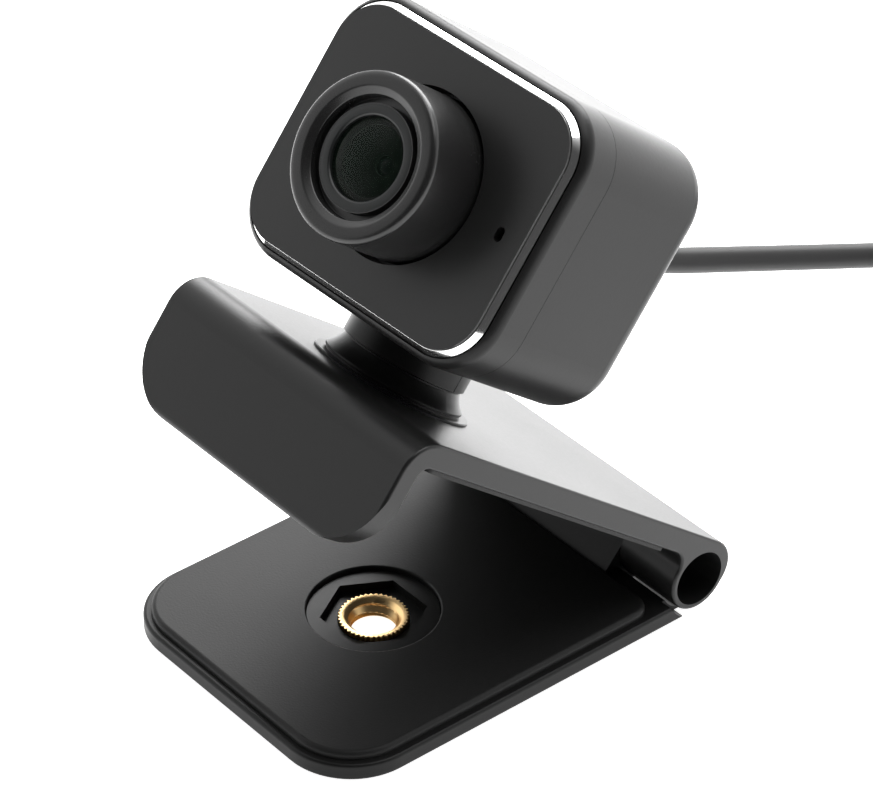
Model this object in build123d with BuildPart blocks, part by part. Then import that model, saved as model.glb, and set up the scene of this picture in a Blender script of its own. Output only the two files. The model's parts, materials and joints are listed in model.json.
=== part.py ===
"""Webcam on a folding clip stand, millimetres.

+Z up, +X to the right, the lens faces -Y.  The origin is on the axis of the
tripod thread, at the surface the base stands on.
"""
import math
import os

from build123d import *

os.makedirs("parts", exist_ok=True)

# ---------------------------------------------------------------- base plate
base_width = 40.0
base_front_y = -20.6
base_rear_y = 28.2
base_corner_r = 8.3
plate_top = 2.2
foot_lift = 0.15            # the rubber foot stands this far out of the plate
foot_thick = 0.6
foot_inset = 2.0
pad_inset = 0.92
pad_thick = 0.95
pad_rear_y = 24.0
pad_rear_corner_r = 2.5
recess_r = 7.4              # round recess in the pad around the thread
boss_top = 2.6
hex_corner_r = 5.95
hex_floor = 1.6
insert_top = 2.1
insert_r = 3.95
insert_teeth = 50
tooth_depth = 0.22
thread_r = 2.55             # minor radius of a 1/4 inch, 20 threads per inch hole
thread_mouth_r = 3.175

# ---------------------------------------------------------------- hinge
hinge_y = 30.0
hinge_z = 4.2
open_angle = 38.6
knuckle_r = 3.2
knuckle_half = 10.7
knuckle_gap = 0.3           # each side, between knuckle and the arm's ears
plate_notch_r = 4.25         # clears the arm's barrel
end_notch_r = 4.65           # wider at the plate's two rear corners
toe_half = 18.3
toe_rear_y = 28.45
pin_r = 1.5
pin_clearance = 0.05
sleeve_r = 2.2
ear_wall_half = 13.0        # the ears are solid up to here, open tubes beyond
retainer_r = 2.7
retainer_thick = 0.6

# ---------------------------------------------------------------- arm
arm_width = 39.4
arm_top = 4.63              # above the hinge axis, square to the arm
arm_thick = 2.77
arm_front = 53.93           # hinge axis to the front face of the lip
lip_drop = 14.6
lip_thick = 2.6
lip_corner_r = 7.8
fold_r = 3.8
barrel_r = 3.94
barrel_bore_r = 3.27
rear_round_r = 3.6
root_fillet_r = 2.0
notch_reach = 8.3            # how far the knuckle's room runs under the slab
edge_round = 0.35
liner_thick = 0.45
liner_inset = 0.5
liner_start_u = 7.5
lip_pad_thick = 0.8
lip_pad_inset = 2.4

# ---------------------------------------------------------------- neck
neck_u = 38.7
neck_disc_r = 9.15
cone_foot_r = 8.15
cone_top_r = 6.9
cone_top_h = 2.78
collar_r = 7.2
collar_gap = 0.12
post_r = 3.0
post_clearance = 0.05
collar_split_y = 0.55
rest_turn = 4.15            # the head stands turned this far to its left

# ---------------------------------------------------------------- head
head_height = 21.2          # head centre above the arm's top
head_w = 36.6
head_h = 30.55
head_corner_r = 6.7
head_front_y = -14.43
head_rear_y = 9.62
seam_y = -8.94
front_edge_r = 1.5
rear_edge_r = 3.0
wall = 1.6
recess_floor_y = -13.4
front_wall = 1.2
ring_w = 34.8
ring_h = 28.6
ring_corner_r = 5.8
ring_gap = 0.15
ring_face_w = 0.57
panel_front_y = -15.27
lens_hole_r = 9.45
mic_x = 13.8
mic_slot_h = 1.6
mic_slot_w = 1.0
mic_r = 2.3
mic_offset = 0.6            # the capsule sits this far inboard of its slot

# ---------------------------------------------------------------- lens
barrel_front_y = -23.31
lens_ring_r = 9.0
lens_ring_edge = 0.85
flat_r = 7.3
mouth_r = 6.4
mouth_depth = 1.0
ring_bore_r = 6.05
flange_r = 10.3
holder_r = 5.75
cell_r = 4.9
cell_clearance = 0.05
cell_head_r = 5.7
glass_r = 4.65
retaining_r = 5.6
dome_r = 13.0
pcb_half = 12.0
pcb_front_y = -9.0
pcb_thick = 1.2

# ---------------------------------------------------------------- cable
cable_d = 3.0
relief_len = 6.0
coil_centre = (15.0, 133.0)
coil_mean_r = 16.5
coil_w = 12.0
coil_low = 0.9
coil_high = 11.9
tie_wall = 0.8
plug_y = 107.0

# ---------------------------------------------------------------- planes
a = math.radians(open_angle)
t = math.radians(rest_turn)
back_dir = Vector(0, math.cos(a), -math.sin(a))
up_dir = Vector(0, math.sin(a), math.cos(a))
hinge_point = Vector(0, hinge_y, hinge_z)
arm_plane = Plane(origin=hinge_point, x_dir=(1, 0, 0), z_dir=up_dir)
arm_side = Plane(origin=hinge_point, x_dir=back_dir, z_dir=(1, 0, 0))
base_side = Plane(origin=hinge_point, x_dir=(0, 1, 0), z_dir=(1, 0, 0))
head_right = Vector(1, 0, 0) * math.cos(t) + back_dir * math.sin(t)
head_back = Vector(-1, 0, 0) * math.sin(t) + back_dir * math.cos(t)
neck_foot = hinge_point - back_dir * neck_u + up_dir * arm_top
head_centre = neck_foot + up_dir * head_height


def neck_at(height):
    """Plane square to the neck, a height above the arm's top face."""
    return Plane(origin=neck_foot + up_dir * height, x_dir=head_right, z_dir=up_dir)


def face_at(depth, x=0.0, z=0.0):
    """Plane parallel to the head's face, looking forward; depth counts back."""
    centre = head_centre + head_back * depth + head_right * x + up_dir * z
    return Plane(origin=centre, x_dir=head_right, z_dir=head_back * -1)


lens_axis = Axis(head_centre, head_back * -1)
neck_axis = Axis(neck_foot, up_dir)

# ======================================================================= BASE

with BuildPart() as base_plate:
    with BuildSketch(Plane.XY.offset(foot_lift)):
        with Locations((0, (base_front_y + base_rear_y) / 2)):
            Rectangle(base_width, base_rear_y - base_front_y)
        fillet(vertices().sort_by(Axis.Y)[:2], radius=base_corner_r)
    extrude(amount=plate_top - foot_lift)
    fillet(base_plate.faces().sort_by(Axis.Z)[-1].edges(), radius=0.4)
    fillet(base_plate.faces().sort_by(Axis.Z)[0].edges().filter_by(
        lambda e: e.center().Y < base_rear_y - 0.5), radius=0.4)
    # seat of the threaded insert
    with BuildSketch(Plane.XY.offset(plate_top - 0.5)):
        Circle(recess_r - 0.1)
    extrude(amount=boss_top - plate_top + 0.5)
    # centre knuckle and the web that carries it
    with BuildSketch(base_side):
        reach = hinge_y - pad_rear_y - 0.2
        rise = plate_top + 0.3 - hinge_z
        tangent = math.sqrt(reach ** 2 + rise ** 2 - knuckle_r ** 2)
        lean = math.atan2(-rise, reach) + math.asin(
            knuckle_r / math.hypot(reach, rise))
        touch = (-reach + tangent * math.cos(lean), rise + tangent * math.sin(lean))
        Polygon((-reach, foot_lift - hinge_z), (-1.4, foot_lift - hinge_z),
                (0.8, -knuckle_r + 0.12), (0, 0), touch, (-reach, rise), align=None)
        Circle(knuckle_r)
    extrude(amount=knuckle_half, both=True)
    # a low toe reaches in under the arm's barrel
    with BuildSketch(Plane.XY.offset(foot_lift)):
        with Locations((0, toe_rear_y - 2.0)):
            Rectangle(2 * toe_half, 4.0)
    extrude(amount=0.8)
    # room for the barrel on both sides of the knuckle
    for side in (-1, 1):
        for start, radius in ((knuckle_half, plate_notch_r), (toe_half, end_notch_r)):
            with BuildSketch(base_side.offset(side * start)):
                Circle(radius)
            extrude(amount=side * base_width / 2, mode=Mode.SUBTRACT)
    with BuildSketch(base_side):
        Circle(sleeve_r)
    extrude(amount=knuckle_half, both=True, mode=Mode.SUBTRACT)
    with BuildSketch(Plane.XY.offset(hex_floor)):
        RegularPolygon(hex_corner_r, 6)
    extrude(amount=boss_top - hex_floor, mode=Mode.SUBTRACT)
    with BuildSketch(Plane.XY):
        Circle(insert_r)
    extrude(amount=boss_top, mode=Mode.SUBTRACT)
    # pocket for the rubber foot
    with BuildSketch(Plane.XY):
        with Locations((0, (base_front_y + pad_rear_y) / 2)):
            RectangleRounded(base_width - 2 * foot_inset,
                             pad_rear_y - base_front_y - 2 * foot_inset,
                             base_corner_r - foot_inset)
        Circle(insert_r + 1.5, mode=Mode.SUBTRACT)
    extrude(amount=foot_thick, mode=Mode.SUBTRACT)
base_plate.part.label = "base_plate"
export_step(base_plate.part, "parts/base_plate.step")

with BuildPart() as foot_pad:
    with BuildSketch(Plane.XY):
        with Locations((0, (base_front_y + pad_rear_y) / 2)):
            RectangleRounded(base_width - 2 * foot_inset,
                             pad_rear_y - base_front_y - 2 * foot_inset,
                             base_corner_r - foot_inset)
        Circle(insert_r + 1.5, mode=Mode.SUBTRACT)
    extrude(amount=foot_thick)
foot_pad.part.label = "foot_pad"
export_step(foot_pad.part, "parts/foot_pad.step")

with BuildPart() as grip_pad:
    with BuildSketch(Plane.XY.offset(plate_top)):
        front = base_front_y + pad_inset
        with Locations((0, (front + pad_rear_y) / 2)):
            Rectangle(base_width - 2 * pad_inset, pad_rear_y - front)
        fillet(vertices().sort_by(Axis.Y)[:2], radius=base_corner_r - pad_inset)
        fillet(vertices().sort_by(Axis.Y)[-2:], radius=pad_rear_corner_r)
        Circle(recess_r, mode=Mode.SUBTRACT)
    extrude(amount=pad_thick)
    top_edges = grip_pad.faces().sort_by(Axis.Z)[-1].edges()
    rim_edges = top_edges.filter_by(lambda e: e.center().length > recess_r + 1)
    fillet(rim_edges, radius=0.6)
    fillet(grip_pad.edges().filter_by(GeomType.CIRCLE).filter_by(
        lambda e: abs(e.radius - recess_r) < 0.01).sort_by(Axis.Z)[-1:], radius=0.2)
grip_pad.part.label = "grip_pad"
export_step(grip_pad.part, "parts/grip_pad.step")

with BuildPart() as threaded_insert:
    with BuildSketch(Plane.XY):
        outline = []
        for k in range(insert_teeth):
            for step, r in ((0.0, insert_r - tooth_depth), (0.5, insert_r)):
                turn = 2 * math.pi * (k + step) / insert_teeth
                outline.append((r * math.cos(turn), r * math.sin(turn)))
        Polygon(*outline, align=None)
        Circle(thread_r, mode=Mode.SUBTRACT)
    extrude(amount=insert_top)
    mouth = threaded_insert.edges().filter_by(GeomType.CIRCLE).sort_by(Axis.Z)[-1]
    chamfer(mouth, length=thread_mouth_r - thread_r)
threaded_insert.part.label = "threaded_insert"
export_step(threaded_insert.part, "parts/threaded_insert.step")

with BuildPart() as friction_sleeve:
    with BuildSketch(base_side):
        Circle(sleeve_r)
        Circle(pin_r + pin_clearance, mode=Mode.SUBTRACT)
    extrude(amount=knuckle_half, both=True)
friction_sleeve.part.label = "friction_sleeve"
export_step(friction_sleeve.part, "parts/friction_sleeve.step")

# ======================================================================= ARM

arm_half = arm_width / 2
ear_inner = knuckle_half + knuckle_gap

# the lip pad lies flush in a pocket, so the closed clip clears the base
pad_pocket = Plane(origin=hinge_point - back_dir * (arm_front - lip_thick),
                   x_dir=(1, 0, 0), z_dir=back_dir)
with BuildPart() as lip_pad:
    with BuildSketch(pad_pocket):
        pad_low = lip_drop - arm_top - lip_pad_inset
        pad_high = arm_thick - arm_top + 2.0
        with Locations((0, (pad_low + pad_high) / 2)):
            Rectangle(arm_width - 2 * lip_pad_inset, pad_low - pad_high)
        fillet(vertices().sort_by(Axis.Y)[-2:], radius=lip_corner_r - lip_pad_inset)
        fillet(vertices().sort_by(Axis.Y)[:2], radius=0.8)
    extrude(amount=-lip_pad_thick)
lip_pad.part.label = "lip_pad"
export_step(lip_pad.part, "parts/lip_pad.step")

with BuildPart() as clip_arm:
    # one closed outline: slab, lip, fold, rear corner, barrel and root fillet
    low = arm_top - arm_thick
    lip_end = arm_top - lip_drop
    inner = arm_front - lip_thick
    root_n = low - root_fillet_r
    root_u = math.sqrt((barrel_r + root_fillet_r) ** 2 - root_n ** 2)
    root_meet = barrel_r / (barrel_r + root_fillet_r)
    root_turn = (math.atan2(-root_n, root_u) + math.pi / 2) / 2
    with BuildSketch(arm_side):
        with BuildLine():
            FilletPolyline(
                (-root_u, low), (-inner, low), (-inner, lip_end), (-arm_front, lip_end),
                (-arm_front, arm_top), (barrel_r, arm_top), (barrel_r, 0),
                radius=[1.2, 0.8, 0.8, fold_r, rear_round_r])
            ThreePointArc((barrel_r, 0), (0, -barrel_r),
                          (-root_u * root_meet, root_n * root_meet))
            ThreePointArc((-root_u * root_meet, root_n * root_meet),
                          (-root_u + root_fillet_r * math.cos(root_turn),
                           root_n + root_fillet_r * math.sin(root_turn)),
                          (-root_u, low))
        make_face()
    extrude(amount=arm_half, both=True)
    sides = clip_arm.faces().filter_by(Plane.YZ)
    fillet(sides.edges(), radius=edge_round)
    # rounded lower corners of the lip; this sketch's y runs down along the lip
    lip_face = Plane(origin=hinge_point - back_dir * (arm_front + 1),
                     x_dir=(1, 0, 0), z_dir=back_dir)
    with BuildSketch(lip_face):
        corner_x = arm_half - lip_corner_r
        corner_y = lip_drop - arm_top - lip_corner_r
        with Locations((corner_x, corner_y), (-corner_x, corner_y)):
            Rectangle(2 * lip_corner_r + 2, 2 * lip_corner_r + 2)
        with Locations((0, corner_y - lip_corner_r)):
            Rectangle(arm_width + 9, 2 * lip_corner_r, mode=Mode.SUBTRACT)
        with Locations((0, corner_y)):
            Rectangle(2 * corner_x, 60, mode=Mode.SUBTRACT)
        with Locations((corner_x, corner_y), (-corner_x, corner_y)):
            Circle(lip_corner_r, mode=Mode.SUBTRACT)
    extrude(amount=lip_thick + 2, mode=Mode.SUBTRACT)
    # room for the base's knuckle between the ears, under the arm's skin
    with BuildSketch(arm_side):
        Circle(knuckle_r + knuckle_gap)
        with Locations((-notch_reach, -8)):
            Rectangle(20, 8 + arm_top - arm_thick, align=(Align.MIN, Align.MIN))
    extrude(amount=ear_inner, both=True, mode=Mode.SUBTRACT)
    with BuildSketch(arm_side):
        Circle(pin_r)
    extrude(amount=arm_half, both=True, mode=Mode.SUBTRACT)
    for side in (-1, 1):
        with BuildSketch(arm_side.offset(side * ear_wall_half)):
            Circle(barrel_bore_r)
        extrude(amount=side * arm_half, mode=Mode.SUBTRACT)
    add(lip_pad.part, mode=Mode.SUBTRACT)
clip_arm.part.label = "clip_arm"
export_step(clip_arm.part, "parts/clip_arm.step")

with BuildPart() as arm_liner:
    with BuildSketch(arm_plane.offset(arm_top - arm_thick - liner_thick)):
        end_u = arm_front - lip_thick - liner_inset - 0.8
        with Locations((0, -(liner_start_u + end_u) / 2)):
            RectangleRounded(arm_width - 2 * liner_inset, end_u - liner_start_u, 1.0)
    extrude(amount=liner_thick)
arm_liner.part.label = "arm_liner"
export_step(arm_liner.part, "parts/arm_liner.step")

with BuildPart() as hinge_pin:
    with BuildSketch(arm_side):
        Circle(pin_r)
    extrude(amount=ear_wall_half + retainer_thick + 0.6, both=True)
    chamfer(hinge_pin.edges().filter_by(GeomType.CIRCLE), length=0.25)
hinge_pin.part.label = "hinge_pin"
export_step(hinge_pin.part, "parts/hinge_pin.step")

with BuildPart() as pin_retainers:
    for side in (-1, 1):
        with BuildSketch(arm_side.offset(side * ear_wall_half)):
            Circle(retainer_r)
            Circle(pin_r, mode=Mode.SUBTRACT)
        extrude(amount=side * retainer_thick)
pin_retainers.part.label = "pin_retainers"
export_step(pin_retainers.part, "parts/pin_retainers.step")

# ======================================================================= NECK

collar_low = cone_top_h + collar_gap
collar_high = head_height - head_h / 2
floor_top = collar_high + wall
post_top = floor_top + 0.15

with BuildPart() as swivel_base:
    with BuildSketch(Plane(origin=neck_foot, x_dir=head_right,
                           z_dir=head_right.cross(up_dir))):
        with BuildLine():
            Polyline((0, 0), (neck_disc_r, 0), (neck_disc_r, 0.2), (neck_disc_r - 0.1, 0.3),
                     (cone_foot_r - 0.2, 0.3), (cone_foot_r - 0.2, 0.5), (cone_foot_r, 0.6),
                     (cone_foot_r, 0.85))
            ThreePointArc((cone_foot_r, 0.85), (cone_foot_r - 0.78, 1.72),
                          (cone_top_r, cone_top_h - 0.15))
            Polyline((cone_top_r, cone_top_h - 0.15), (cone_top_r, cone_top_h),
                     (post_r, cone_top_h), (post_r, post_top), (0, post_top), (0, 0))
        make_face()
    revolve(axis=neck_axis)
    with BuildSketch(neck_at(post_top)):
        Circle(1.0)
    extrude(amount=-5.5, mode=Mode.SUBTRACT)
swivel_base.part.label = "swivel_base"
export_step(swivel_base.part, "parts/swivel_base.step")

for name, low_y, high_y in (("swivel_collar_front", -9.0, collar_split_y),
                            ("swivel_collar_rear", collar_split_y + 0.1, 9.0)):
    with BuildPart() as swivel_collar:
        with BuildSketch(neck_at(collar_low)):
            Circle(collar_r)
            Circle(post_r + post_clearance, mode=Mode.SUBTRACT)
            with Locations((0, (low_y + high_y) / 2)):
                Rectangle(20, high_y - low_y, mode=Mode.INTERSECT)
        extrude(amount=collar_high - collar_low)
    swivel_collar.part.label = name
    export_step(swivel_collar.part, "parts/" + name + ".step")

with BuildPart() as swivel_washer:
    with BuildSketch(neck_at(post_top)):
        Circle(4.4)
        Circle(1.0, mode=Mode.SUBTRACT)
    extrude(amount=0.5)
swivel_washer.part.label = "swivel_washer"
export_step(swivel_washer.part, "parts/swivel_washer.step")

with BuildPart() as swivel_screw:
    with BuildSketch(neck_at(post_top + 0.5)):
        Circle(2.2)
    extrude(amount=1.4)
    fillet(swivel_screw.edges().sort_by(neck_axis)[-1:], radius=0.5)
    with BuildSketch(neck_at(post_top + 0.5)):
        Circle(1.0)
    extrude(amount=-5.5)
    with BuildSketch(neck_at(post_top + 1.9)):
        Rectangle(2.4, 0.6)
        Rectangle(0.6, 2.4)
    extrude(amount=-0.9, mode=Mode.SUBTRACT)
swivel_screw.part.label = "swivel_screw"
export_step(swivel_screw.part, "parts/swivel_screw.step")

# ======================================================================= HEAD

screw_spots = ((-14.6, -9.0), (14.6, -9.0))
boss_r = 2.2
screw_hole_r = 0.85
board_screw_spots = ((-9.6, 9.6), (9.6, -9.6))
board_back_y = pcb_front_y + pcb_thick
rear_inside_y = head_rear_y - wall

with BuildPart() as front_housing:
    with BuildSketch(face_at(seam_y - 0.05)):
        RectangleRounded(head_w, head_h, head_corner_r)
    extrude(amount=seam_y - 0.05 - head_front_y)
    front_face = front_housing.faces().sort_by(lens_axis)[-1]
    fillet(front_face.edges(), radius=front_edge_r)
    with BuildSketch(face_at(recess_floor_y)):
        RectangleRounded(ring_w + 2 * ring_gap, ring_h + 2 * ring_gap,
                         ring_corner_r + ring_gap)
    extrude(amount=3, mode=Mode.SUBTRACT)
    with BuildSketch(face_at(seam_y)):
        RectangleRounded(head_w - 2 * wall, head_h - 2 * wall, head_corner_r - wall)
    extrude(amount=seam_y - recess_floor_y - front_wall, mode=Mode.SUBTRACT)
    with BuildSketch(face_at(seam_y - 0.05)):
        with Locations(*screw_spots):
            Circle(boss_r)
        RectangleRounded(head_w - wall, head_h - wall, head_corner_r - wall / 2,
                         mode=Mode.INTERSECT)
    extrude(amount=seam_y - 0.05 - recess_floor_y - front_wall)
    with BuildSketch(face_at(seam_y - 0.05)):
        with Locations(*screw_spots):
            Circle(screw_hole_r)
    extrude(amount=3.6, mode=Mode.SUBTRACT)
    with BuildSketch(face_at(recess_floor_y + front_wall + 0.1)):
        Circle(lens_hole_r)
        with Locations((mic_x, 0)):
            SlotOverall(mic_slot_h, mic_slot_w, rotation=90)
    extrude(amount=front_wall + 0.2, mode=Mode.SUBTRACT)
front_housing.part.label = "front_housing"
export_step(front_housing.part, "parts/front_housing.step")

with BuildPart() as rear_housing:
    with BuildSketch(face_at(head_rear_y)):
        RectangleRounded(head_w, head_h, head_corner_r)
    extrude(amount=head_rear_y - seam_y)
    fillet(rear_housing.faces().sort_by(lens_axis)[0].edges(), radius=rear_edge_r)
    with BuildSketch(face_at(rear_inside_y)):
        RectangleRounded(head_w - 2 * wall, head_h - 2 * wall, head_corner_r - wall)
    extrude(amount=rear_inside_y - seam_y, mode=Mode.SUBTRACT)
    with BuildSketch(face_at(rear_inside_y)):
        with Locations(*screw_spots):
            Circle(boss_r)
        RectangleRounded(head_w - wall, head_h - wall, head_corner_r - wall / 2,
                         mode=Mode.INTERSECT)
    extrude(amount=rear_inside_y - seam_y)
    with BuildSketch(face_at(rear_inside_y)):
        with Locations(*board_screw_spots):
            Circle(1.9)
    extrude(amount=rear_inside_y - board_back_y)
    # screw channels from the back, wide up to the screw's head
    with BuildSketch(face_at(head_rear_y)):
        with Locations(*screw_spots):
            Circle(1.1)
    extrude(amount=head_rear_y - seam_y, mode=Mode.SUBTRACT)
    with BuildSketch(face_at(head_rear_y)):
        with Locations(*screw_spots):
            Circle(1.75)
    extrude(amount=head_rear_y + 5.0, mode=Mode.SUBTRACT)
    with BuildSketch(face_at(board_back_y)):
        with Locations(*board_screw_spots):
            Circle(0.8)
    extrude(amount=-6.0, mode=Mode.SUBTRACT)
    # post of the swivel passes through the floor
    with BuildSketch(neck_at(collar_high)):
        Circle(post_r + post_clearance)
    extrude(amount=wall + 0.2, mode=Mode.SUBTRACT)
    with BuildSketch(face_at(head_rear_y)):
        Circle(2.1)
    extrude(amount=wall + 0.1, mode=Mode.SUBTRACT)
rear_housing.part.label = "rear_housing"
export_step(rear_housing.part, "parts/rear_housing.step")

with BuildPart() as trim_ring:
    with BuildSketch(face_at(recess_floor_y)):
        RectangleRounded(ring_w, ring_h, ring_corner_r)
    extrude(amount=recess_floor_y - panel_front_y)
    chamfer(trim_ring.faces().sort_by(lens_axis)[-1].edges(),
            length=head_front_y - panel_front_y - 0.04, length2=ring_face_w - 0.04)
    with BuildSketch(face_at(recess_floor_y)):
        RectangleRounded(ring_w - 2 * ring_face_w, ring_h - 2 * ring_face_w,
                         ring_corner_r - ring_face_w)
    extrude(amount=3, mode=Mode.SUBTRACT)
trim_ring.part.label = "trim_ring"
export_step(trim_ring.part, "parts/trim_ring.step")

with BuildPart() as face_panel:
    with BuildSketch(face_at(recess_floor_y)):
        RectangleRounded(ring_w - 2 * ring_face_w - 0.06,
                         ring_h - 2 * ring_face_w - 0.06, ring_corner_r - ring_face_w)
        Circle(lens_hole_r, mode=Mode.SUBTRACT)
        with Locations((mic_x, 0)):
            SlotOverall(mic_slot_h, mic_slot_w, rotation=90, mode=Mode.SUBTRACT)
    extrude(amount=recess_floor_y - panel_front_y)
face_panel.part.label = "face_panel"
export_step(face_panel.part, "parts/face_panel.step")

# ======================================================================= LENS

inner_y = recess_floor_y + front_wall
flange_y = inner_y + 0.35
holder_front_y = barrel_front_y + 2.9
holder_foot_y = pcb_front_y - 1.6
cell_front_y = barrel_front_y + 0.86
cell_neck_y = cell_front_y + 1.5


def half_section():
    return Plane(origin=head_centre, x_dir=head_right, z_dir=up_dir)


with BuildPart() as focus_ring:
    with BuildSketch(half_section()):
        Polygon(*[(r, y) for r, y in (
            (ring_bore_r, flange_y + 0.9), (flange_r, flange_y + 0.9),
            (flange_r, flange_y), (lens_ring_r, flange_y),
            (lens_ring_r, barrel_front_y + lens_ring_edge),
            (lens_ring_r - 0.25, barrel_front_y + 0.25),
            (lens_ring_r - lens_ring_edge, barrel_front_y),
            (flat_r, barrel_front_y), (mouth_r, barrel_front_y + 0.55),
            (mouth_r, barrel_front_y + 0.55 + mouth_depth),
            (cell_head_r, barrel_front_y + 0.55 + mouth_depth),
            (cell_head_r, cell_neck_y - 0.1), (ring_bore_r, cell_neck_y - 0.1))],
            align=None)
    revolve(axis=lens_axis)
focus_ring.part.label = "focus_ring"
export_step(focus_ring.part, "parts/focus_ring.step")

with BuildPart() as lens_holder:
    with BuildSketch(half_section()):
        Polygon((cell_r + cell_clearance, holder_front_y), (holder_r, holder_front_y),
                (holder_r, holder_foot_y), (cell_r + cell_clearance, holder_foot_y),
                align=None)
    revolve(axis=lens_axis)
    with BuildSketch(face_at(pcb_front_y)):
        RectangleRounded(15.0, 15.0, 1.0)
    extrude(amount=pcb_front_y - holder_foot_y)
    with BuildSketch(face_at(pcb_front_y)):
        Rectangle(10.4, 10.4)
    extrude(amount=1.2, mode=Mode.SUBTRACT)
    with BuildSketch(face_at(pcb_front_y - 1.2)):
        Rectangle(7.0, 7.0)
    extrude(amount=0.5, mode=Mode.SUBTRACT)
lens_holder.part.label = "lens_holder"
export_step(lens_holder.part, "parts/lens_holder.step")

with BuildPart() as ir_filter:
    with BuildSketch(face_at(pcb_front_y - 1.2)):
        Rectangle(7.0, 7.0)
    extrude(amount=0.4)
ir_filter.part.label = "ir_filter"
export_step(ir_filter.part, "parts/ir_filter.step")

with BuildPart() as lens_cell:
    with BuildSketch(half_section()):
        Polygon((retaining_r, cell_front_y), (cell_head_r, cell_front_y),
                (cell_head_r, cell_neck_y), (cell_r, cell_neck_y),
                (cell_r, holder_foot_y - 1.2), (3.2, holder_foot_y - 1.2),
                (3.2, cell_front_y + 6.6), (3.8, cell_front_y + 6.6),
                (3.8, cell_front_y + 1.3), (glass_r, cell_front_y + 1.3),
                (glass_r, cell_front_y + 0.5), (retaining_r, cell_front_y + 0.5),
                align=None)
    revolve(axis=lens_axis)
lens_cell.part.label = "lens_cell"
export_step(lens_cell.part, "parts/lens_cell.step")

with BuildPart() as retaining_ring:
    with BuildSketch(half_section()):
        Polygon((glass_r - 0.2, cell_front_y + 0.15), (glass_r, cell_front_y),
                (retaining_r, cell_front_y), (retaining_r, cell_front_y + 0.5),
                (glass_r - 0.2, cell_front_y + 0.5), align=None)
    revolve(axis=lens_axis)
retaining_ring.part.label = "retaining_ring"
export_step(retaining_ring.part, "parts/retaining_ring.step")

dome_base_r = glass_r - 0.25
dome_rise = dome_r - math.sqrt(dome_r ** 2 - dome_base_r ** 2)
with BuildPart() as front_glass:
    with BuildSketch(half_section()):
        with BuildLine():
            seat = cell_front_y + 0.5
            middle = dome_r - math.sqrt(dome_r ** 2 - (dome_base_r / 2) ** 2)
            ThreePointArc((0, seat - dome_rise),
                          (dome_base_r / 2, seat - dome_rise + middle),
                          (dome_base_r, seat))
            Polyline((dome_base_r, seat), (glass_r, seat), (glass_r, seat + 0.8),
                     (0, seat + 0.8), (0, seat - dome_rise))
        make_face()
    revolve(axis=lens_axis)
front_glass.part.label = "front_glass"
export_step(front_glass.part, "parts/front_glass.step")

with BuildPart() as inner_glasses:
    for start, thick in ((1.5, 1.6), (4.4, 1.9)):
        with BuildSketch(face_at(cell_front_y + start + thick)):
            Circle(3.8)
        extrude(amount=thick)
inner_glasses.part.label = "inner_glasses"
export_step(inner_glasses.part, "parts/inner_glasses.step")

# ======================================================================= ELECTRONICS

with BuildPart() as sensor_board:
    with BuildSketch(face_at(board_back_y)):
        RectangleRounded(2 * pcb_half, 2 * pcb_half, 1.0)
        with Locations(*board_screw_spots):
            Circle(0.8, mode=Mode.SUBTRACT)
    extrude(amount=pcb_thick)
sensor_board.part.label = "sensor_board"
export_step(sensor_board.part, "parts/sensor_board.step")

with BuildPart() as image_sensor:
    with BuildSketch(face_at(pcb_front_y)):
        Rectangle(9.0, 8.4)
    extrude(amount=1.0)
image_sensor.part.label = "image_sensor"
export_step(image_sensor.part, "parts/image_sensor.step")

with BuildPart() as board_chips:
    with BuildSketch(face_at(board_back_y)):
        with Locations((0, 3.0)):
            Rectangle(8.0, 8.0)
        with Locations((-8.0, 1.0)):
            Rectangle(4.0, 5.0)
        with Locations((8.2, 2.0)):
            Rectangle(3.2, 5.0)
    extrude(amount=-1.0)
board_chips.part.label = "board_chips"
export_step(board_chips.part, "parts/board_chips.step")

with BuildPart() as cable_connector:
    with BuildSketch(face_at(board_back_y)):
        with Locations((0, -6.0)):
            Rectangle(8.5, 4.0)
    extrude(amount=-4.2)
cable_connector.part.label = "cable_connector"
export_step(cable_connector.part, "parts/cable_connector.step")

with BuildPart() as board_screws:
    with BuildSketch(face_at(pcb_front_y)):
        with Locations(*board_screw_spots):
            Circle(1.6)
    extrude(amount=0.9)
    with BuildSketch(face_at(pcb_front_y)):
        with Locations(*board_screw_spots):
            Circle(0.8)
    extrude(amount=-(pcb_thick + 5.0))
board_screws.part.label = "board_screws"
export_step(board_screws.part, "parts/board_screws.step")

with BuildPart() as housing_screws:
    with BuildSketch(face_at(-5.0)):
        with Locations(*screw_spots):
            Circle(1.6)
    extrude(amount=-1.2)
    with BuildSketch(face_at(-5.0)):
        with Locations(*screw_spots):
            Circle(screw_hole_r)
    extrude(amount=-5.0 - seam_y + 3.3)
    with BuildSketch(face_at(-5.0 + 1.2)):
        for x, z in screw_spots:
            with Locations((x, z)):
                Rectangle(1.9, 0.5)
                Rectangle(0.5, 1.9)
    extrude(amount=0.7, mode=Mode.SUBTRACT)
housing_screws.part.label = "housing_screws"
export_step(housing_screws.part, "parts/housing_screws.step")

with BuildPart() as microphone:
    with BuildSketch(face_at(inner_y + 2.4, mic_x - mic_offset)):
        Circle(mic_r - 0.5)
    extrude(amount=1.9)
microphone.part.label = "microphone"
export_step(microphone.part, "parts/microphone.step")

with BuildPart() as mic_boot:
    with BuildSketch(face_at(inner_y + 2.4, mic_x - mic_offset)):
        Circle(mic_r - 0.15)
        Circle(mic_r - 0.5, mode=Mode.SUBTRACT)
    extrude(amount=2.4)
    with BuildSketch(face_at(inner_y + 0.5, mic_x - mic_offset)):
        Circle(mic_r - 0.15)
        with Locations((mic_offset, 0)):
            Circle(0.7, mode=Mode.SUBTRACT)
    extrude(amount=0.5)
mic_boot.part.label = "mic_boot"
export_step(mic_boot.part, "parts/mic_boot.step")

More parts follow.
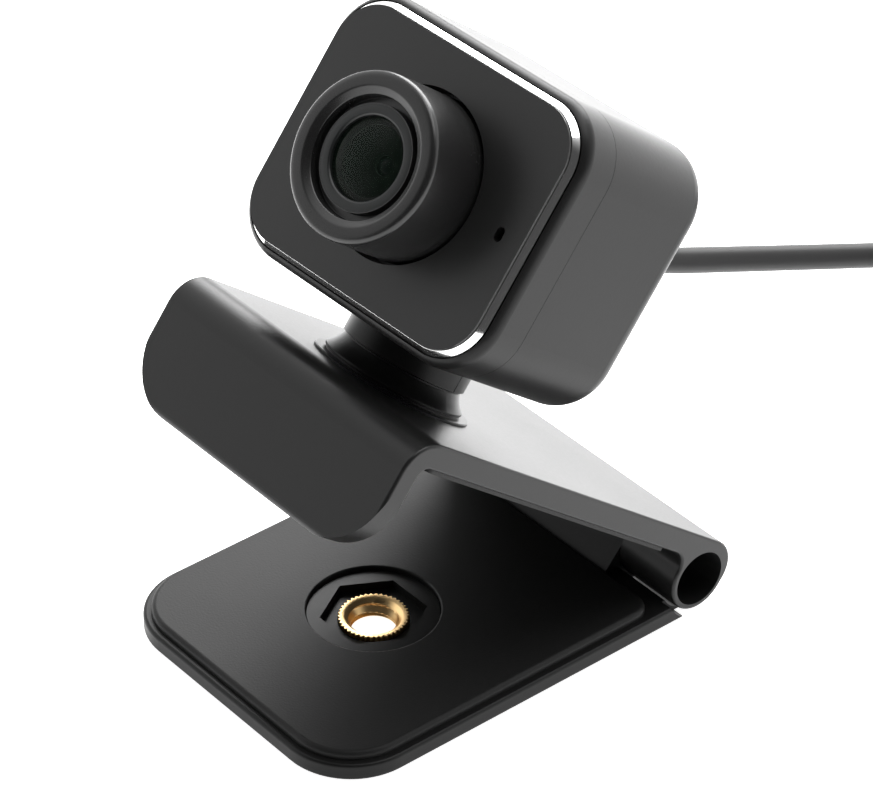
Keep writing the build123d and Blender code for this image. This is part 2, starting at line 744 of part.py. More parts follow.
# ======================================================================= CABLE

relief_root = head_centre + head_back * head_rear_y
cable_start = relief_root + head_back * relief_len

with BuildPart() as strain_relief:
    with BuildSketch(face_at(head_rear_y + relief_len)):
        Circle(cable_d / 2 + 0.55)
    with BuildSketch(face_at(head_rear_y)):
        Circle(cable_d / 2 + 1.3)
    loft()
    with BuildSketch(face_at(head_rear_y)):
        Circle(2.1)
    extrude(amount=wall)
    with BuildSketch(face_at(rear_inside_y)):
        Circle(2.9)
    extrude(amount=1.2)
strain_relief.part.label = "strain_relief"
export_step(strain_relief.part, "parts/strain_relief.step")

coil_entry_y = coil_centre[1] - math.sqrt(
    (coil_mean_r + coil_w / 2) ** 2 - coil_mean_r ** 2) + 1.8
left_x = coil_centre[0] - coil_mean_r
right_x = coil_centre[0] + coil_mean_r
route = [
    (cable_start.X, cable_start.Y, cable_start.Z),
    (cable_start.X - 0.5, 36.4, 32.2), (-2.6, 55.0, 24.2), (-2.6, 84.0, 12.6),
    (-2.2, 101.0, 6.6), (left_x, 112.0, 3.3), (left_x, coil_entry_y, 2.9)]
runs = [math.dist(p, q) for p, q in zip(route, route[1:])]
bends = []
for k in range(1, len(route) - 1):
    one = Vector(*route[k]) - Vector(*route[k - 1])
    two = Vector(*route[k + 1]) - Vector(*route[k])
    half_turn = math.radians(one.get_angle(two)) / 2
    bends.append(0.45 * min(runs[k - 1], runs[k]) / math.tan(half_turn))
with BuildPart() as cable:
    with BuildLine() as lead_line:
        FilletPolyline(*route, radius=bends)
    with BuildSketch(Plane(origin=route[0], z_dir=head_back)):
        Circle(cable_d / 2)
    sweep(path=lead_line.wires()[0])
lead_length = lead_line.wires()[0].length
cable.part.label = "cable"
export_step(cable.part, "parts/cable.step")
print("cable bend radii", [round(r, 1) for r in bends], "length",
      round(lead_length, 1), "volume ratio",
      round(cable.part.volume / (math.pi * cable_d ** 2 / 4 * lead_length), 4))

with BuildPart() as cable_coil:
    coil_mid = (coil_low + coil_high) / 2
    with BuildSketch(Plane(origin=(*coil_centre, coil_mid), x_dir=(1, 0, 0),
                           z_dir=(0, -1, 0))):
        with Locations((coil_mean_r, 0)):
            RectangleRounded(coil_w, coil_high - coil_low, 3.0)
    revolve(axis=Axis((*coil_centre, 0), (0, 0, 1)))
cable_coil.part.label = "cable_coil"
export_step(cable_coil.part, "parts/cable_coil.step")

with BuildPart() as cable_tie:
    with BuildSketch(Plane(origin=(coil_centre[0], coil_centre[1], coil_mid),
                           x_dir=(0, 1, 0), z_dir=(1, 0, 0))):
        with Locations((coil_mean_r - 0.1, 0)):
            RectangleRounded(coil_w + 2 * tie_wall + 0.4,
                             coil_high - coil_low + 2 * tie_wall, 3.6)
            RectangleRounded(coil_w + 0.4, coil_high - coil_low, 2.6,
                             mode=Mode.SUBTRACT)
    extrude(amount=2.0, both=True)
cable_tie.part.label = "cable_tie"
export_step(cable_tie.part, "parts/cable_tie.step")

plug_z = 4.2
tail_plane = Plane(origin=(right_x, plug_y, plug_z), x_dir=(1, 0, 0),
                   z_dir=(0, -1, 0))
with BuildPart() as cable_tail:
    with BuildSketch(tail_plane):
        Circle(cable_d / 2)
    extrude(amount=-(coil_entry_y - plug_y))
cable_tail.part.label = "cable_tail"
export_step(cable_tail.part, "parts/cable_tail.step")

with BuildPart() as usb_overmould:
    with BuildSketch(tail_plane):
        RectangleRounded(6.5, 5.5, 2.2)
    with BuildSketch(tail_plane.offset(6.0)):
        RectangleRounded(15.2, 8.0, 2.0)
    loft()
    with BuildSketch(tail_plane.offset(6.0)):
        RectangleRounded(15.2, 8.0, 2.0)
    extrude(amount=18.0)
    fillet(usb_overmould.faces().sort_by(Axis.Y)[0].edges(), radius=0.6)
usb_overmould.part.label = "usb_overmould"
export_step(usb_overmould.part, "parts/usb_overmould.step")

with BuildPart() as usb_shell:
    with BuildSketch(tail_plane.offset(24.0)):
        RectangleRounded(12.0, 4.5, 0.5)
        RectangleRounded(11.4, 3.9, 0.3, mode=Mode.SUBTRACT)
    extrude(amount=12.0)
    with BuildSketch(tail_plane.offset(30.5)):
        with Locations((-2.9, 2.1), (2.9, 2.1)):
            Rectangle(2.0, 1.0)
    extrude(amount=2.2, mode=Mode.SUBTRACT)
usb_shell.part.label = "usb_shell"
export_step(usb_shell.part, "parts/usb_shell.step")

with BuildPart() as usb_contact_block:
    with BuildSketch(tail_plane.offset(24.0)):
        with Locations((0, -1.0)):
            Rectangle(11.2, 1.8)
    extrude(amount=11.0)
usb_contact_block.part.label = "usb_contact_block"
export_step(usb_contact_block.part, "parts/usb_contact_block.step")

print("arm swings down", open_angle, "degrees to lie along the base")
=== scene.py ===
"""Looks of the webcam on its folding clip: finishes, lens, thread, cable and a plain studio."""

import json
import math

import bmesh
import bpy
from bpy.props import FloatProperty, FloatVectorProperty, IntProperty, PointerProperty
from mathutils import Matrix, Vector


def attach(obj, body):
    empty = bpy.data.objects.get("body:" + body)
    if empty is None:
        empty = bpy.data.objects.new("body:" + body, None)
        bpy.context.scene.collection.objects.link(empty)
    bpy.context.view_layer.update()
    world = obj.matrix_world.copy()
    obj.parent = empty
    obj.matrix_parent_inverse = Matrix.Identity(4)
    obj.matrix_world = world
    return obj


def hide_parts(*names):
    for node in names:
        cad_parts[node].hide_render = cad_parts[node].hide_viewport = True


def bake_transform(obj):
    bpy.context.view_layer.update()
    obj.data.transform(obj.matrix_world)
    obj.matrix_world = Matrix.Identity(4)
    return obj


bl_info = {
    "name": "Webcam on folding clip",
    "version": (1, 0, 0),
    "blender": (4, 5, 0),
    "location": "View3D > Sidebar > Webcam",
    "description": "Builds the looks of a webcam that stands on a folding clip",
    "category": "Object",
}

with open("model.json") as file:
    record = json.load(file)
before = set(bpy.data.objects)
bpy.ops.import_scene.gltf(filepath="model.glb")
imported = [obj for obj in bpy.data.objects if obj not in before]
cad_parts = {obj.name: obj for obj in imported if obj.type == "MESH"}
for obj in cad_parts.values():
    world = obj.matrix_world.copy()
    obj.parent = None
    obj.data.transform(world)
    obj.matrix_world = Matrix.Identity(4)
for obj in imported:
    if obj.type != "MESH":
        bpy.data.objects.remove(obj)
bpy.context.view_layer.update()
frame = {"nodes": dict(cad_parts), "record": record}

MM = 0.001


def joint_named(name):
    """A joint of the record's behaviour, by name."""
    return next(j for j in frame["record"]["behaviour"]["joints"] if j["name"] == name)


def unit(values):
    return Vector(values).normalized()


ARM_UP = unit(joint_named("head_swivel")["axis"])
HEAD_CENTRE = Vector(joint_named("focus_turn")["pos_m"])
FRONT = unit(joint_named("focus_turn")["axis"])
RIGHT = ARM_UP.cross(FRONT)


# ------------------------------------------------------------------ sizes and colours


class CableSettings(bpy.types.PropertyGroup):
    """The free cable."""

    diameter: FloatProperty(
        name="Diameter", description="Outside of the jacket", default=3.0 * MM,
        unit="LENGTH")
    length: FloatProperty(
        name="Length", description="Whole cable, from the head to the plug", default=1.5,
        unit="LENGTH")
    coil_radius: FloatProperty(
        name="Coil radius", description="Middle of the coil's turns", default=16.5 * MM,
        unit="LENGTH")
    jacket: FloatVectorProperty(
        name="Jacket", description="Colour of the jacket", subtype="COLOR",
        default=(0.010, 0.010, 0.010), min=0, max=1)


class ShellSettings(bpy.types.PropertyGroup):
    """The moulded shells and pads."""

    shell: FloatVectorProperty(
        name="Shell", description="Colour of the moulded plastic", subtype="COLOR",
        default=(0.008, 0.008, 0.008), min=0, max=1)
    shell_roughness: FloatProperty(
        name="Shell roughness", description="Satin finish of the shells", default=0.34,
        min=0, max=1, subtype="FACTOR")
    pad: FloatVectorProperty(
        name="Pads", description="Colour of the rubber pads", subtype="COLOR",
        default=(0.008, 0.008, 0.008), min=0, max=1)
    grain: FloatProperty(
        name="Grain", description="Depth of the moulded grain", default=0.05, min=0,
        max=1, subtype="FACTOR")


class LensSettings(bpy.types.PropertyGroup):
    """The lens and its rings."""

    segments: IntProperty(
        name="Segments", description="Steps round each turned piece", default=160,
        min=24, max=400)
    barrel: FloatVectorProperty(
        name="Barrel", description="Colour of the focus ring", subtype="COLOR",
        default=(0.010, 0.010, 0.010), min=0, max=1)
    coating: FloatVectorProperty(
        name="Coating", description="Tint of the coated glass", subtype="COLOR",
        default=(0.020, 0.030, 0.050), min=0, max=1)


class StageSettings(bpy.types.PropertyGroup):
    """Floor, light and camera."""

    floor: FloatVectorProperty(
        name="Floor", description="Colour of the floor", subtype="COLOR",
        default=(0.85, 0.85, 0.85), min=0, max=1)
    floor_glow: FloatProperty(
        name="Floor glow", description="Light the floor gives out by itself",
        default=0.95, min=0, max=10)
    sky: FloatProperty(
        name="Surroundings", description="Brightness of the studio around the object",
        default=1.7, min=0, max=10)
    front_shade: FloatProperty(
        name="Front shade", description="Brightness of the studio on the camera's side",
        default=0.07, min=0, max=10)
    focal: FloatProperty(
        name="Focal length", description="Camera lens, in millimetres, 36 mm wide sensor",
        default=166.64, min=10, max=600)


# ------------------------------------------------------------------ shader maths


class Socket:
    """A shader output that takes part in sums, products and node calls."""

    def __init__(self, tree, output):
        self.tree = tree
        self.output = output

    def _math(self, operation, other, swap=False):
        node = self.tree.nodes.new("ShaderNodeMath")
        node.operation = operation
        order = (other, self) if swap else (self, other)
        for entry, value in zip(node.inputs, order):
            feed(self.tree, entry, value)
        return Socket(self.tree, node.outputs[0])

    def __add__(self, other):
        return self._math("ADD", other)

    def __radd__(self, other):
        return self._math("ADD", other, swap=True)

    def __sub__(self, other):
        return self._math("SUBTRACT", other)

    def __mul__(self, other):
        return self._math("MULTIPLY", other)

    def node(self, kind, inputs=(), output=0, **settings):
        """Any other node; inputs is a dict of socket name to value."""
        made = self.tree.nodes.new("ShaderNode" + kind)
        for name, value in settings.items():
            setattr(made, name, value)
        for name, value in dict(inputs).items():
            feed(self.tree, made.inputs[name], value)
        return Socket(self.tree, made.outputs[output])


def feed(tree, entry, value):
    """Link a Socket into an input, or set its plain value."""
    if isinstance(value, Socket):
        tree.links.new(value.output, entry)
    elif isinstance(value, (tuple, list)) and len(value) == 3 and entry.type == "RGBA":
        entry.default_value = (*value, 1)
    else:
        entry.default_value = value


def material(name, **plain):
    """A Principled material; plain values go straight onto the shader's sockets."""
    made = bpy.data.materials.new(name)
    made.use_nodes = True
    shader = made.node_tree.nodes["Principled BSDF"]
    for key, value in plain.items():
        feed(made.node_tree, shader.inputs[key.replace("_", " ")], value)
    return made


def place(made):
    """Object coordinates as a Socket."""
    coordinates = made.node_tree.nodes.new("ShaderNodeTexCoord")
    return Socket(made.node_tree, coordinates.outputs["Object"])


def grained(name, colour, roughness, grain, scale=2600.0, wear=0.05, **plain):
    """Moulded plastic or rubber: fine grain and slightly uneven gloss."""
    made = material(name, Base_Color=tuple(colour), **plain)
    shader = made.node_tree.nodes["Principled BSDF"]
    here = place(made)
    fine = here.node("TexNoise", {"Vector": here, "Scale": scale, "Detail": 3.0})
    broad = here.node("TexNoise", {"Vector": here, "Scale": 55.0, "Detail": 4.0})
    feed(made.node_tree, shader.inputs["Roughness"],
         roughness + (broad - 0.5) * wear + (fine - 0.5) * wear)
    if grain:
        bump = here.node("Bump", {"Strength": grain, "Distance": 0.0001, "Height": fine})
        feed(made.node_tree, shader.inputs["Normal"], bump)
    return made


# ------------------------------------------------------------------ making pieces


def linked(name, mesh):
    piece = bpy.data.objects.new(name, mesh)
    bpy.context.scene.collection.objects.link(piece)
    return piece


def settled(name, work, finish, body, slot, *nodes, smooth_deg=35.0):
    """Turn a bmesh into a piece: normals, finish, body and what it stands for; slot is not
    used.
    """
    bmesh.ops.recalc_face_normals(work, faces=work.faces)
    mesh = bpy.data.meshes.new(name)
    work.to_mesh(mesh)
    work.free()
    for face in mesh.polygons:
        face.use_smooth = True
    mesh.set_sharp_from_angle(angle=math.radians(smooth_deg))
    piece = linked(name, mesh)
    mesh.materials.append(finish)
    if body:
        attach(piece, body)
    if nodes:
        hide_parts(*nodes)
    return piece


def turned(work, profile, centre, axis, across, segments, closed=True):
    """Spin (radius, height) points in millimetres round an axis; height runs along it."""
    side = across - axis * across.dot(axis)
    side.normalize()
    verts = [work.verts.new(centre + side * (r * MM) + axis * (h * MM))
             for r, h in profile]
    edges = [work.edges.new(pair) for pair in zip(verts, verts[1:])]
    if closed:
        edges.append(work.edges.new((verts[-1], verts[0])))
    bmesh.ops.spin(work, geom=verts + edges, cent=centre, axis=axis,
                   angle=2 * math.pi, steps=segments, use_duplicate=False)
    bmesh.ops.remove_doubles(work, verts=work.verts, dist=1e-7)


def rounded(profile, radius, steps=5):
    """Round the corners of a closed (radius, height) outline; one radius per corner."""
    out = []
    count = len(profile)
    for k, (x, y) in enumerate(profile):
        r = radius[k] if isinstance(radius, (list, tuple)) else radius
        here = Vector((x, y))
        before = Vector(profile[k - 1]) - here
        after = Vector(profile[(k + 1) % count]) - here
        if r <= 0 or before.length < 1e-9 or after.length < 1e-9:
            out.append((x, y))
            continue
        reach = min(r, before.length * 0.45, after.length * 0.45)
        start = here + before.normalized() * reach
        end = here + after.normalized() * reach
        for s in range(steps + 1):
            w = s / steps
            point = (1 - w) ** 2 * start + 2 * w * (1 - w) * here + w * w * end
            out.append((point.x, point.y))
    return out


def rim(work, outline, wide, high, corner):
    """Carry (inset, ahead) points round the head's rounded face, in millimetres."""
    loops = []
    for inset, ahead in outline:
        loop = []
        for quarter, (sx, sz) in enumerate(((1, 1), (-1, 1), (-1, -1), (1, -1))):
            for step in range(25):
                turn = (quarter + step / 24) * math.pi / 2
                x = sx * (wide / 2 - corner) + (corner - inset) * math.cos(turn)
                z = sz * (high / 2 - corner) + (corner - inset) * math.sin(turn)
                loop.append(work.verts.new(
                    HEAD_CENTRE + (RIGHT * x + ARM_UP * z + FRONT * ahead) * MM))
        loops.append(loop)
    for k, loop in enumerate(loops):
        after = loops[(k + 1) % len(loops)]
        for m in range(len(loop)):
            n = (m + 1) % len(loop)
            work.faces.new((loop[m], loop[n], after[n], after[m]))


def tube(work, path, thick, sides=20):
    """A closed round tube along a list of points."""
    previous = None
    side = None
    for k, point in enumerate(path):
        ahead = path[min(k + 1, len(path) - 1)] - path[max(k - 1, 0)]
        ahead.normalize()
        if side is None:
            side = ahead.orthogonal().normalized()
        side = (side - ahead * side.dot(ahead)).normalized()
        over = ahead.cross(side)
        ring = [work.verts.new(point + (side * math.cos(2 * math.pi * s / sides)
                                        + over * math.sin(2 * math.pi * s / sides))
                               * (thick / 2)) for s in range(sides)]
        if previous:
            for s in range(sides):
                work.faces.new((previous[s], previous[(s + 1) % sides],
                                ring[(s + 1) % sides], ring[s]))
        else:
            work.faces.new(ring)
        previous = ring
    work.faces.new(previous)


def smooth_route(points):
    """The points of a NURBS curve led by these control points."""
    line = bpy.data.curves.new("cable_route", "CURVE")
    line.dimensions = "3D"
    spline = line.splines.new("NURBS")
    spline.points.add(len(points) - 1)
    for entry, point in zip(spline.points, points):
        entry.co = (*point, 1.0)
    spline.order_u = 3
    spline.use_endpoint_u = True
    spline.resolution_u = 4
    route = linked("cable_route", line)
    bpy.context.view_layer.update()
    traced = bpy.data.meshes.new_from_object(
        route.evaluated_get(bpy.context.evaluated_depsgraph_get()))
    path = [vertex.co.copy() for vertex in traced.vertices]
    bpy.data.objects.remove(route)
    bpy.data.meshes.remove(traced)
    return path


def finish_nodes(finish, *nodes):
    """Give CAD nodes a finish, in their own material slots."""
    for name in nodes:
        node = frame["nodes"][name]
        if not node.material_slots:
            node.data.materials.append(finish)
        for entry in node.material_slots:
            entry.material = finish


# ------------------------------------------------------------------ operators


class WEBCAM_OT_stage(bpy.types.Operator):
    """Make the camera, the floor, the surroundings and the lights"""

    bl_idname = "webcam.stage"
    bl_label = "Stage"

    def execute(self, context):
        settings = context.scene.webcam_stage
        look = bpy.data.cameras.new("camera")
        look.sensor_width = 36.0
        look.sensor_fit = "HORIZONTAL"
        look.lens = settings.focal
        look.clip_start = 0.01
        look.clip_end = 50
        camera = linked("camera", look)
        forward = unit((-0.62795, 0.51629, -0.58201))
        right = forward.cross(Vector((0, 0, 1))).normalized()
        up = right.cross(forward)
        turn = Matrix((right, up, -forward)).transposed().to_4x4()
        camera.matrix_world = Matrix.Translation(
            Vector((270.63, -213.61, 278.48)) * MM) @ turn
        context.scene.camera = camera

        work = bmesh.new()
        bmesh.ops.create_grid(work, x_segments=1, y_segments=1, size=3.0)
        mesh = bpy.data.meshes.new("floor")
        work.to_mesh(mesh)
        work.free()
        floor = linked("floor", mesh)
        paint = material("floor", Base_Color=tuple(settings.floor), Roughness=0.9,
                         Emission_Color=(1, 1, 1), Emission_Strength=settings.floor_glow)
        context.scene.view_settings.view_transform = "Standard"
        mesh.materials.append(paint)

        world = bpy.data.worlds.new("studio")
        context.scene.world = world
        world.use_nodes = True
        tree = world.node_tree
        background = tree.nodes["Background"]
        around = Socket(tree, tree.nodes.new("ShaderNodeTexCoord").outputs["Generated"])
        shade_side = unit((0.60, -0.69, 0.40))
        facing = around.node("VectorMath", {0: around, 1: tuple(shade_side)},
                             output=1, operation="DOT_PRODUCT")
        blend = facing.node("MapRange", {"Value": facing, "From Min": 0.05,
                                         "From Max": 0.72, "To Min": settings.sky,
                                         "To Max": settings.front_shade},
                            interpolation_type="SMOOTHSTEP")
        feed(tree, background.inputs["Strength"], blend)
        background.inputs["Color"].default_value = (1, 1, 1, 1)

        for name, where, size, power in (
                ("back_soft", (-0.40, 0.70, 0.60), 0.8, 20.0),
                ("top_soft", (0.10, 0.25, 0.90), 0.6, 4.0)):
            data = bpy.data.lights.new(name, "AREA")
            data.shape = "SQUARE"
            data.size = size
            data.energy = power
            lamp = linked(name, data)
            aim = (Vector((0, 0, 0.03)) - Vector(where)).normalized()
            lamp.location = where
            lamp.rotation_euler = aim.to_track_quat("-Z", "Y").to_euler()
        return {"FINISHED"}


class WEBCAM_OT_cable(bpy.types.Operator):
    """Make the cable on its route, with the put-away length in a tied coil"""

    bl_idname = "webcam.cable"
    bl_label = "Cable"

    def controls(self, settings):
        """Control points: out of the head, down to the coil, round it and to the plug."""
        thick = settings.diameter
        coil = Vector((15.0, 133.0, 0)) * MM
        relief_end = 9.62 + 6.0
        start = HEAD_CENTRE - FRONT * relief_end * MM
        points = [start, Vector((start.x / MM - 0.5, 36.4, 32.2)) * MM]
        for place_mm in ((-2.6, 55.0, 24.2), (-2.6, 84.0, 12.6), (-2.2, 101.0, 6.6),
                         (-1.5, 112.0, 3.3)):
            points.append(Vector(place_mm) * MM)

        # turns lie beside and on each other, column by column, about a diameter apart
        columns = (-1.5, -0.5, 0.5, 1.5)
        turns = [(column, row) for k, column in enumerate(columns)
                 for row in ((0, 1, 2) if k % 2 == 0 else (2, 1, 0))]
        beside, above = thick * 0.93, thick * 1.07
        steps = 14
        low = 0.9 * MM + thick / 2 + 0.1 * MM

        def coiled(w, column, row):
            angle = math.pi - 2 * math.pi * w
            r = settings.coil_radius + column * beside
            return Vector((coil.x + r * math.cos(angle), coil.y + r * math.sin(angle),
                           low + row * above))

        for index, (column, row) in enumerate(turns):
            after = turns[min(index + 1, len(turns) - 1)]
            for k in range(steps):
                w = k / steps
                ease = max(0.0, (w - 0.6) / 0.4)
                points.append(coiled(w, column + (after[0] - column) * ease,
                                     row + (after[1] - row) * ease))
        half_turn = steps // 2
        points += [coiled(k / steps, *turns[-1]) for k in range(half_turn)]
        for across, y, z in ((16.9, 130.0, 5.6), (16.6, 119.0, 4.4), (16.5, 111.0, 4.2),
                             (16.5, 106.8, 4.2)):
            points.append(Vector((coil.x / MM + across, y, z)) * MM)
        return points

    def execute(self, context):
        settings = context.scene.webcam_cable
        thick = settings.diameter
        path = smooth_route(self.controls(settings))
        work = bmesh.new()
        tube(work, path, thick)
        jacket = grained("cable_jacket", settings.jacket, 0.42, 0.04, scale=1500.0,
                         Specular_IOR_Level=0.15)
        cable = settled("cable_run", work, jacket, None, "cable_jacket",
                        "cable", "cable_coil", "cable_tail")
        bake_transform(cable)
        return {"FINISHED"}


class WEBCAM_OT_shells(bpy.types.Operator):
    """Finish the housings, the arm, the base and the pads"""

    bl_idname = "webcam.shells"
    bl_label = "Shells and pads"

    def execute(self, context):
        settings = context.scene.webcam_shell
        shell = grained("shell_plastic", settings.shell, settings.shell_roughness,
                        settings.grain, Specular_IOR_Level=0.16)
        finish_nodes(shell, "front_housing", "rear_housing", "swivel_collar_front",
                     "swivel_collar_rear", "swivel_base")
        arm = grained("arm_plastic", settings.shell, settings.shell_roughness,
                      settings.grain, Specular_IOR_Level=0.24)
        finish_nodes(arm, "clip_arm")
        plate = grained("base_plastic", settings.shell, settings.shell_roughness + 0.04,
                        settings.grain, Specular_IOR_Level=0.16)
        finish_nodes(plate, "base_plate")
        pad = grained("grip_rubber", settings.pad, 0.50, settings.grain * 3,
                      scale=3800.0, Specular_IOR_Level=0.19)
        finish_nodes(pad, "grip_pad", "foot_pad", "arm_liner", "lip_pad", "mic_boot",
                     "strain_relief")
        gloss = grained("panel_gloss", (0.009, 0.009, 0.009), 0.34, 0.02,
                        Specular_IOR_Level=0.42)
        finish_nodes(gloss, "face_panel")
        return {"FINISHED"}


class WEBCAM_OT_metal(bpy.types.Operator):
    """Finish the bright trim and the small metal pieces"""

    bl_idname = "webcam.metal"
    bl_label = "Metal pieces"

    def execute(self, context):
        chrome = material("bright_trim", Base_Color=(0.90, 0.90, 0.90), Metallic=1.0,
                          Roughness=0.10)
        seat, low, high, face = 13.4, 14.30, 14.90, 0.57
        outline = rounded([(0.0, seat), (0.0, low), (face - 0.04, high), (face, high),
                           (face, seat)], [0, 0, 0.05, 0, 0], steps=4)
        work = bmesh.new()
        rim(work, outline, 34.8, 28.6, 5.8)
        settled("trim_ring_polished", work, chrome, "head", "bright_trim", "trim_ring",
                smooth_deg=25.0)
        steel = grained("steel", (0.42, 0.42, 0.43), 0.32, 0.0, Metallic=1.0)
        finish_nodes(steel, "hinge_pin", "pin_retainers", "friction_sleeve",
                     "swivel_washer", "swivel_screw", "board_screws", "housing_screws",
                     "usb_shell")
        return {"FINISHED"}


class WEBCAM_OT_thread(bpy.types.Operator):
    """Make the knurled insert with its thread"""

    bl_idname = "webcam.thread"
    bl_label = "Threaded insert"

    def execute(self, context):
        teeth = 42
        pitch = 25.4 / 20
        minor, major, mouth = 2.55, 3.05, 3.175
        outer, tooth = 3.95, 0.30
        top = 2.1
        tooth_steps = 6
        around = teeth * tooth_steps
        work = bmesh.new()
        rows = []
        bore_top = top - 0.30
        levels = 36
        for k in range(around):
            turn = 2 * math.pi * k / around
            wave = abs(((k / tooth_steps) % 1.0) - 0.5) * 2
            edge = outer - tooth * (1 - wave)
            column = [(edge, 0.0), (edge, top - 0.07), (edge - 0.05, top),
                      (mouth + 0.12, top), (mouth, top - 0.05)]
            for s in range(levels + 1):
                z = bore_top - bore_top * s / levels
                phase = ((z / pitch) - turn / (2 * math.pi)) % 1.0
                depth = 1 - abs(phase - 0.5) * 2
                fade = min(1.0, max(0.0, (z - 0.05) / 0.15))
                column.append((minor + (major - minor) * depth * fade, z))
            rows.append([work.verts.new((r * MM * math.cos(turn), r * MM * math.sin(turn),
                                         z * MM)) for r, z in column])
        for k in range(around):
            a, b = rows[k], rows[(k + 1) % around]
            for s in range(len(a)):
                n = (s + 1) % len(a)
                work.faces.new((a[s], b[s], b[n], a[n]))
        brass = grained("brass", (0.74, 0.51, 0.24), 0.30, 0.0, Metallic=1.0)
        settled("threaded_insert_brass", work, brass, "base", "brass",
                "threaded_insert", smooth_deg=40.0)
        return {"FINISHED"}


class WEBCAM_OT_lens(bpy.types.Operator):
    """Make the focus ring, the retaining ring and the glasses"""

    bl_idname = "webcam.lens"
    bl_label = "Lens"

    def execute(self, context):
        settings = context.scene.webcam_lens
        n = settings.segments
        tip = 23.31
        barrel = grained("barrel_plastic", settings.barrel, 0.26, 0.03,
                         Specular_IOR_Level=0.42)
        ring = [(6.05, 10.95), (10.3, 10.95), (10.3, 11.85), (9.0, 11.85), (9.0, tip),
                (7.3, tip), (6.5, tip - 0.5), (6.5, tip - 1.9), (5.72, tip - 1.9),
                (5.72, tip - 2.26), (6.05, tip - 2.26)]
        work = bmesh.new()
        turned(work, rounded(ring, [0, 0.1, 0.1, 0, 1.05, 0.16, 0.12, 0.1, 0, 0, 0],
                             steps=8),
               HEAD_CENTRE, FRONT, RIGHT, n)
        settled("focus_ring_barrel", work, barrel, "focus_ring", "black_plastic",
                "focus_ring", smooth_deg=50.0)

        hold = grained("retaining_metal", (0.012, 0.013, 0.013), 0.30, 0.0,
                       Specular_IOR_Level=0.3)
        cell = tip - 0.86
        ring = [(5.6, cell - 0.5), (5.6, cell), (4.65, cell), (4.45, cell - 0.15),
                (4.45, cell - 0.5)]
        work = bmesh.new()
        turned(work, rounded(ring, 0.06, steps=3), HEAD_CENTRE, FRONT, RIGHT, n)
        settled("retaining_ring_metal", work, hold, "focus_ring", "lens_metal",
                "retaining_ring", smooth_deg=40.0)

        base = 4.4
        bulge = 13.0
        rise = bulge - math.sqrt(bulge ** 2 - base ** 2)
        seat = cell - 0.5
        dome = []
        for k in range(25):
            r = base * k / 24
            dome.append((r, seat + rise - (bulge - math.sqrt(bulge ** 2 - r * r))))
        glass = material(
            "coated_glass", Base_Color=(0.004, 0.008, 0.005), Roughness=0.03,
            Specular_IOR_Level=0.10, Alpha=0.55)
        work = bmesh.new()
        turned(work, dome + [(4.65, seat), (4.65, seat - 0.8), (0.0, seat - 0.8)],
               HEAD_CENTRE, FRONT, RIGHT, n, closed=False)
        settled("front_glass_dome", work, glass, "focus_ring", "lens_glass",
                "front_glass", smooth_deg=30.0)

        # stepped baffle behind the glass, down to the small inner lens
        bore, pupil, back = 3.78, 1.1, seat - 4.3
        baffle = material("baffle_black", Base_Color=(0.010, 0.016, 0.012),
                          Roughness=0.34, Specular_IOR_Level=0.5)
        work = bmesh.new()
        steps = [(bore, seat - 1.0)]
        for k in range(7):
            r = 3.55 - k * 0.34
            h = seat - 1.15 - k * 0.24
            steps += [(r + 0.10, h + 0.06), (r, h), (r, h - 0.05)]
        steps += [(pupil, seat - 2.75), (pupil, back), (bore, back)]
        turned(work, steps, HEAD_CENTRE, FRONT, RIGHT, n)
        settled("lens_baffle", work, baffle, "focus_ring", "black_plastic",
                smooth_deg=20.0)

        coat = material(
            "inner_coating", Base_Color=tuple(settings.coating), Roughness=0.04,
            Coat_Weight=1.0, Coat_Roughness=0.02, Specular_IOR_Level=0.9)
        work = bmesh.new()
        radius, inner_bulge, steps = 1.05, 1.6, 16
        dome = []
        for k in range(steps + 1):
            r = radius * k / steps
            dome.append((r, seat - 2.65
                         - (inner_bulge - math.sqrt(inner_bulge ** 2 - r * r))))
        turned(work, dome + [(radius, seat - 4.4), (3.7, seat - 4.4), (3.7, seat - 5.4),
                             (0.0, seat - 5.4)],
               HEAD_CENTRE, FRONT, RIGHT, n, closed=False)
        settled("inner_lens", work, coat, "focus_ring", "lens_glass", "inner_glasses",
                smooth_deg=30.0)
        inner = grained("inner_black", (0.012, 0.012, 0.012), 0.4, 0.0)
        finish_nodes(inner, "lens_cell", "lens_holder")
        return {"FINISHED"}


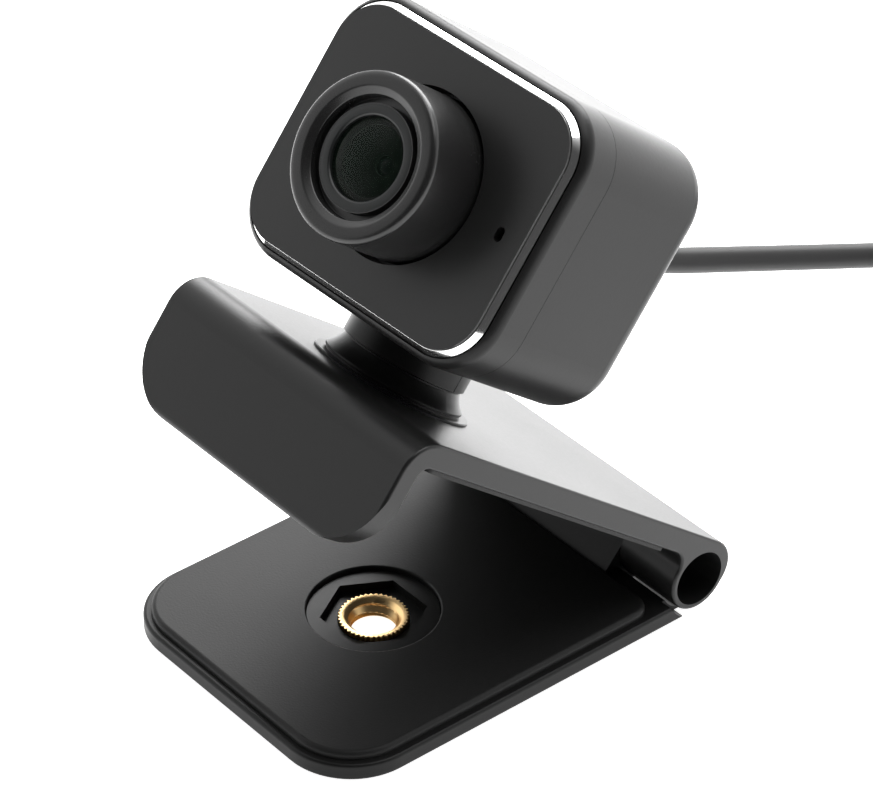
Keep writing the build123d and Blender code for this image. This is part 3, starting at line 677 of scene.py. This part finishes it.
class WEBCAM_OT_electronics(bpy.types.Operator):
    """Finish the board, the sensor, the microphone and the plug"""

    bl_idname = "webcam.electronics"
    bl_label = "Electronics and plug"

    def execute(self, context):
        mask = grained("circuit_board", (0.01, 0.10, 0.045), 0.35, 0.0)
        finish_nodes(mask, "sensor_board")
        chip = grained("chip_black", (0.015, 0.015, 0.016), 0.45, 0.0)
        finish_nodes(chip, "board_chips", "image_sensor", "cable_tie")
        pale = grained("connector_pale", (0.70, 0.68, 0.60), 0.45, 0.0)
        finish_nodes(pale, "cable_connector")
        can = material("microphone_can", Base_Color=(0.60, 0.60, 0.60), Metallic=1.0,
                       Roughness=0.35)
        finish_nodes(can, "microphone")
        filter_glass = material("filter_glass", Base_Color=(0.30, 0.12, 0.14),
                                Roughness=0.05)
        finish_nodes(filter_glass, "ir_filter")
        plug = grained("plug_plastic", (0.020, 0.020, 0.020), 0.45, 0.08)
        finish_nodes(plug, "usb_overmould", "usb_contact_block")
        return {"FINISHED"}


class WEBCAM_PT_panel(bpy.types.Panel):
    """Everything that builds the webcam's looks"""

    bl_idname = "WEBCAM_PT_panel"
    bl_label = "Webcam on folding clip"
    bl_space_type = "VIEW_3D"
    bl_region_type = "UI"
    bl_category = "Webcam"

    def draw(self, context):
        for operator in OPERATORS:
            self.layout.operator(operator.bl_idname)
        for name in GROUPS:
            for entry in getattr(context.scene, name).__annotations__:
                self.layout.prop(getattr(context.scene, name), entry)


OPERATORS = (WEBCAM_OT_stage, WEBCAM_OT_cable, WEBCAM_OT_shells, WEBCAM_OT_metal,
             WEBCAM_OT_thread, WEBCAM_OT_lens, WEBCAM_OT_electronics)
GROUPS = {"webcam_cable": CableSettings, "webcam_shell": ShellSettings,
          "webcam_lens": LensSettings, "webcam_stage": StageSettings}


def register():
    for group in GROUPS.values():
        bpy.utils.register_class(group)
    for name, group in GROUPS.items():
        setattr(bpy.types.Scene, name, PointerProperty(type=group))
    for operator in OPERATORS:
        bpy.utils.register_class(operator)
    bpy.utils.register_class(WEBCAM_PT_panel)


def unregister():
    bpy.utils.unregister_class(WEBCAM_PT_panel)
    for operator in reversed(OPERATORS):
        bpy.utils.unregister_class(operator)
    for name, group in GROUPS.items():
        delattr(bpy.types.Scene, name)
        bpy.utils.unregister_class(group)


def main():
    register()
    for operator in OPERATORS:
        prefix, name = operator.bl_idname.split(".")
        getattr(getattr(bpy.ops, prefix), name)()


if __name__ == "__main__":
    main()
